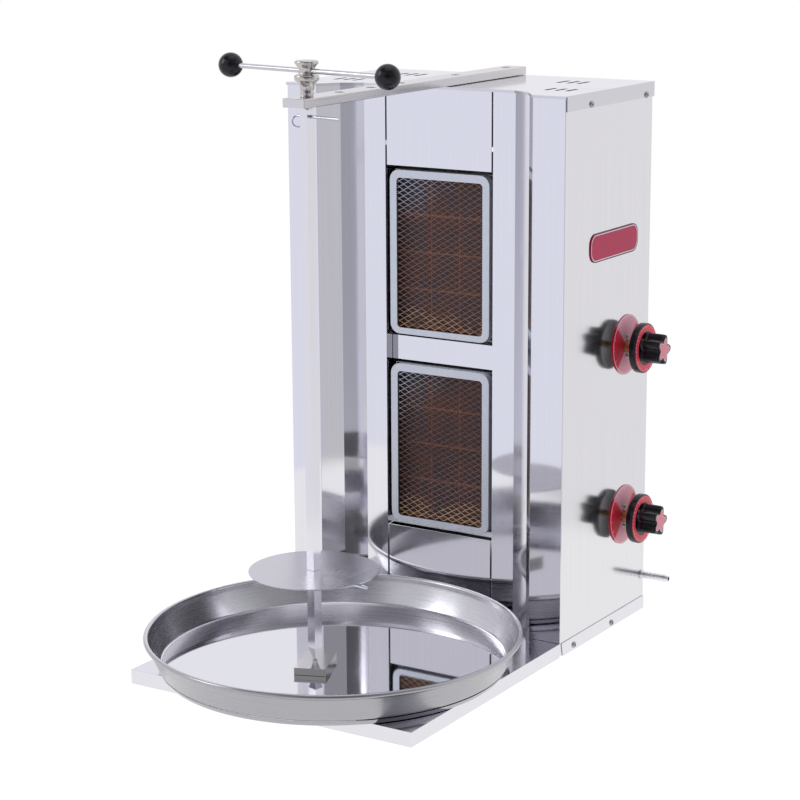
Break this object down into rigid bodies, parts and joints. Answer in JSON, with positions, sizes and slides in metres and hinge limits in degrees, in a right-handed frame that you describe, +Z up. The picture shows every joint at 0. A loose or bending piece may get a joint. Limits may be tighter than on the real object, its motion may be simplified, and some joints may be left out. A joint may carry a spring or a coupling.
{
  "type": "upright gas spit grill",
  "caption": "Countertop gas grill: stacked radiant burners in a sheet-steel casing, an upright spit turned by hand on a top arm, and a drip pan.",
  "frame": {"origin": "middle of the footprint of the whole grill, on the worktop", "axes": "+Z up along the spit, the burners face -Y, the gas taps are on the +X side"},
  "size_m": [0.484, 0.674, 0.755],
  "materials": {
    "polished_sheet": "polished stainless sheet",
    "polished_bar": "polished stainless bar",
    "drawn_bar": "satin flat bar",
    "zinc_bolt": "zinc-plated",
    "pressed_steel": "plain pressed steel",
    "galvanised_frame": "speckled metal coat",
    "heat_tinted_mesh": "heat-tinted expanded metal",
    "fired_ceramic": "matt porous ceramic",
    "brass": "machined",
    "copper_tube": "drawn copper tube",
    "zinc_nipple": "turned, zinc-plated",
    "nickelled_hub": "bright nickel",
    "chromed_rod": "bright chrome",
    "black_bakelite": "glossy moulded phenolic",
    "red_print": "printed foil on aluminium",
    "black_rubber": "matt"
  },
  "bodies": {
    "casing": {"base_tray": "polished_sheet", "body_floor": "polished_sheet", "side_panel_left": "polished_sheet", "side_panel_right": "polished_sheet", "reflector_left": "polished_sheet", "reflector_right": "polished_sheet", "top_plate": "polished_sheet", "bridge_plate": "polished_sheet", "lower_plate": "polished_sheet", "back_panel": "polished_sheet", "top_cover": "polished_sheet", "burner_frame_upper": "galvanised_frame", "burner_frame_lower": "galvanised_frame", "burner_mesh_upper": "heat_tinted_mesh", "burner_mesh_lower": "heat_tinted_mesh", "ceramic_plate_upper": "fired_ceramic", "ceramic_plate_lower": "fired_ceramic", "burner_housing_upper": "pressed_steel", "burner_housing_lower": "pressed_steel", "mixing_tube_upper": "pressed_steel", "mixing_tube_lower": "pressed_steel", "injector_upper": "brass", "injector_lower": "brass", "gas_tube_upper": "copper_tube", "gas_tube_lower": "copper_tube", "gas_manifold": "pressed_steel", "hose_nipple": "zinc_nipple", "valve_body_upper": "brass", "valve_body_lower": "brass", "dial_plate_upper": "red_print", "dial_plate_lower": "red_print", "name_plate": "red_print", "support_arm": "drawn_bar", "arm_bolt_front": "zinc_bolt", "arm_bolt_rear": "zinc_bolt", "foot_block": "polished_sheet", "foot_front_left": "black_rubber", "foot_front_right": "black_rubber", "foot_rear_left": "black_rubber", "foot_rear_right": "black_rubber"},
    "spit": {"spit_rod": "polished_bar", "top_lock_pin": "zinc_bolt", "disc_pin": "zinc_bolt", "hub": "nickelled_hub", "handle_rod": "chromed_rod", "handle_ball_left": "black_bakelite", "handle_ball_right": "black_bakelite"},
    "disc": {"meat_disc": "polished_sheet"},
    "pan": {"drip_pan": "polished_sheet", "pan_ring": "polished_sheet"},
    "tap_plug_upper": {"valve_plug_upper": "brass"},
    "tap_plug_lower": {"valve_plug_lower": "brass"},
    "tap_knob_upper": {"valve_stem_upper": "brass", "knob_upper": "black_bakelite", "knob_cap_upper": "red_print"},
    "tap_knob_lower": {"valve_stem_lower": "brass", "knob_lower": "black_bakelite", "knob_cap_lower": "red_print"}
  },
  "joints": [
    {"name": "spit_spin", "type": "hinge", "parent": "casing", "child": "spit", "pos_m": [-0.012, -0.147, 0.5], "axis": [0, 0, 1], "continuous": true},
    {"name": "disc_lift", "type": "slide", "parent": "spit", "child": "disc", "axis": [0, 0, 1], "range_m": [0, 0.5]},
    {"name": "pan_slide", "type": "slide", "parent": "casing", "child": "pan", "axis": [0, -1, 0], "range_m": [0, 0.12]},
    {"name": "knob_push_upper", "type": "slide", "parent": "casing", "child": "tap_plug_upper", "axis": [-1, 0, 0], "range_m": [0, 0.004], "stiffness_N_per_m": 700, "springref_m": -0.004},
    {"name": "knob_turn_upper", "type": "hinge", "parent": "tap_plug_upper", "child": "tap_knob_upper", "pos_m": [0.236, 0.27, 0.3695], "axis": [1, 0, 0], "range_deg": [0, 210]},
    {"name": "knob_push_lower", "type": "slide", "parent": "casing", "child": "tap_plug_lower", "axis": [-1, 0, 0], "range_m": [0, 0.004], "stiffness_N_per_m": 700, "springref_m": -0.004},
    {"name": "knob_turn_lower", "type": "hinge", "parent": "tap_plug_lower", "child": "tap_knob_lower", "pos_m": [0.236, 0.27, 0.145], "axis": [1, 0, 0], "range_deg": [0, 210]}
  ]
}
